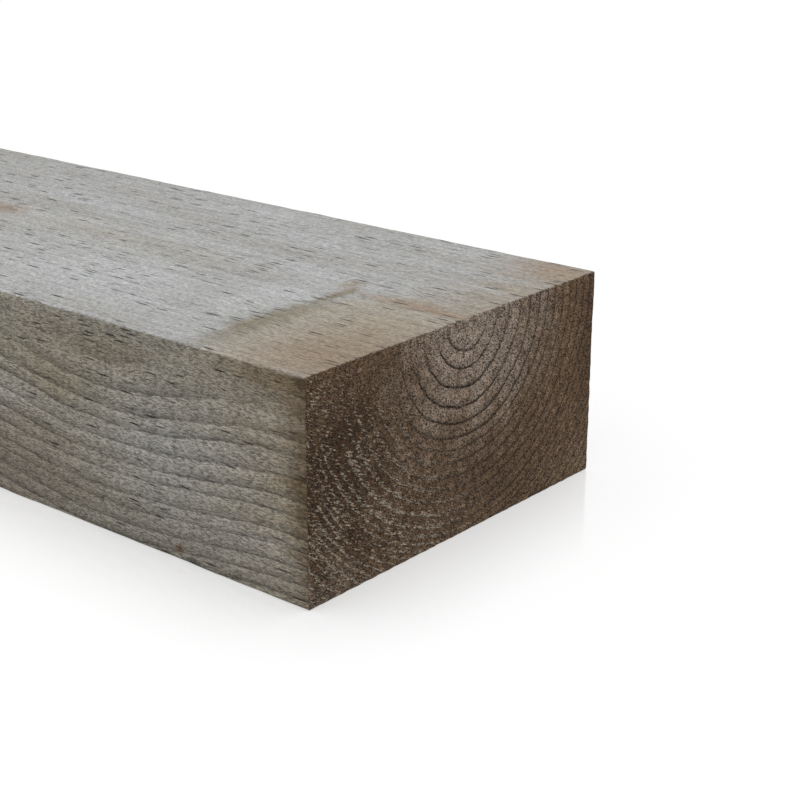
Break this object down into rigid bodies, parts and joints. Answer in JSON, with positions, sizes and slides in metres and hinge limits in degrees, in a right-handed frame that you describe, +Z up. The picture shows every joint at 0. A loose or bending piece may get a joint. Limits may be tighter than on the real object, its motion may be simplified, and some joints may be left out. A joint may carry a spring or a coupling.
{
  "type": "railway sleeper",
  "caption": "Rectangular balk of rough-sawn softwood with square-cut ends, laid flat as an edging, a step or a course of a low retaining wall.",
  "frame": {"origin": "centre of the wide face that the sleeper rests on", "axes": "+X along the grain, towards the sawn end that the picture shows; +Y across the width, away from the side that the picture shows; +Z up, through the depth"},
  "size_m": [2.4, 0.2, 0.1],
  "materials": {
    "sawn_softwood": "matte"
  },
  "bodies": {
    "root": {"sleeper": "sawn_softwood"}
  },
  "joints": []
}
